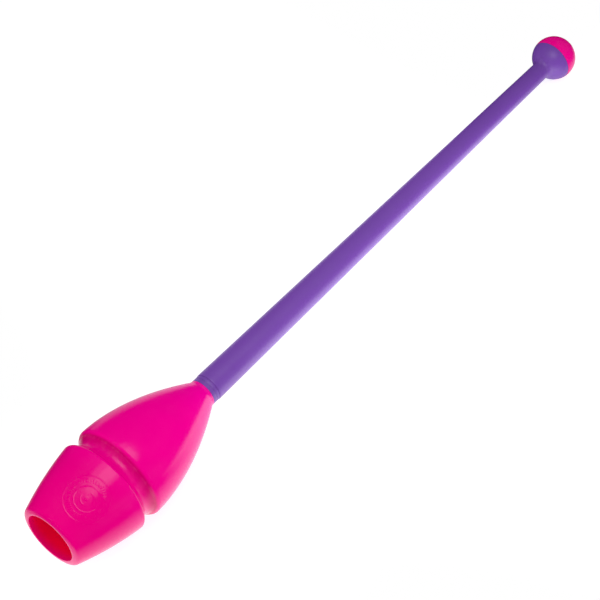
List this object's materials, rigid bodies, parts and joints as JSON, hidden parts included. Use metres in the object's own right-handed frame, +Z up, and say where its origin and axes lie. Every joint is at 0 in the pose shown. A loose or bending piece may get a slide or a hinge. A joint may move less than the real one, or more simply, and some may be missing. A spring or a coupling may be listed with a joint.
{
  "type": "gymnastics club",
  "caption": "Club with a flared rubber body, a deep open mouth that takes another club's ball, and a slim tapered neck ending in a ball.",
  "frame": {"origin": "on the floor, under the middle of the lying club's bounding box", "axes": "+X along the floor from the open mouth towards the ball, +Z up; the club's own axis dips 2.37 degrees towards the ball, because the bulb and the smaller ball both touch the floor"},
  "size_m": [0.4502, 0.0576, 0.0582],
  "materials": {
    "body_rubber": "smooth hot-pink moulded rubber with a satin gloss",
    "neck_plastic": "satin violet moulded plastic",
    "cap_plastic": "satin hot-pink moulded plastic",
    "former_plastic": "natural moulded plastic, not seen",
    "rod_fibre": "pultruded glass-fibre rod, not seen",
    "pad_rubber": "dark grey soft rubber",
    "steel": "zinc-plated steel, not seen"
  },
  "bodies": {
    "root": {"body_shell": "body_rubber", "socket_cup": "body_rubber", "core_former": "former_plastic", "ballast_ring": "steel", "neck_collar": "neck_plastic", "neck_tube": "neck_plastic", "ball_cap": "cap_plastic", "core_rod": "rod_fibre", "socket_pad": "pad_rubber", "tie_screw": "steel", "tie_washer": "steel"}
  },
  "joints": []
}
